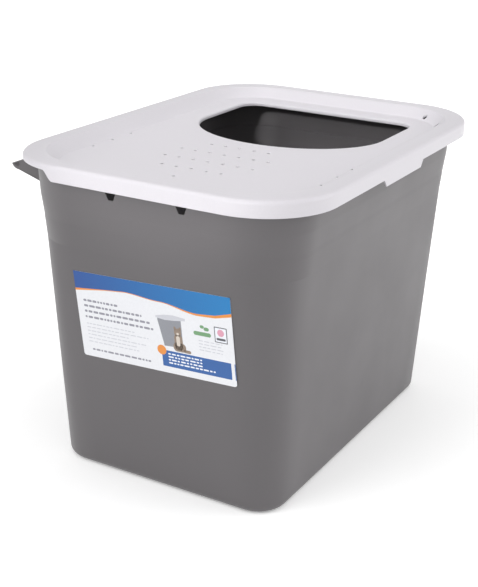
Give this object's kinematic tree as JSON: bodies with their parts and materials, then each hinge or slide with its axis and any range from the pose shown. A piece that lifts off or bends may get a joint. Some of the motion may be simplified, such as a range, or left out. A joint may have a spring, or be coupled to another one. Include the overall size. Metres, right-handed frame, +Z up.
{
  "type": "top-entry cat litter pan",
  "caption": "Tall tapered litter tub with a flat hinged lid, a D-shaped way in through the top, a side hinge rail and a pull tab.",
  "frame": {"origin": "middle of the tub's underside, on the floor", "axes": "+Z up, -Y out of the label end, +X towards the pull tab; the hinge is on the -X side"},
  "size_m": [0.4031, 0.513, 0.373],
  "materials": {
    "tub_grey": "moulded polypropylene, satin grey",
    "lid_white": "moulded polypropylene, satin pearl white",
    "label_film": "printed adhesive film"
  },
  "bodies": {
    "tub": {"tub": "tub_grey", "hinge_rail": "tub_grey", "front_label": "label_film"},
    "lid": {"lid_skirt": "lid_white", "lid_border": "lid_white", "lid_floor": "lid_white", "entry_collar": "lid_white", "pull_tab": "lid_white", "hinge_knuckle_front": "lid_white", "hinge_knuckle_rear": "lid_white"}
  },
  "joints": [
    {"name": "lid_hinge", "type": "hinge", "parent": "tub", "child": "lid", "pos_m": [-0.2053, 0, 0.3486], "axis": [0, -1, 0], "range_deg": [0, 105]}
  ]
}
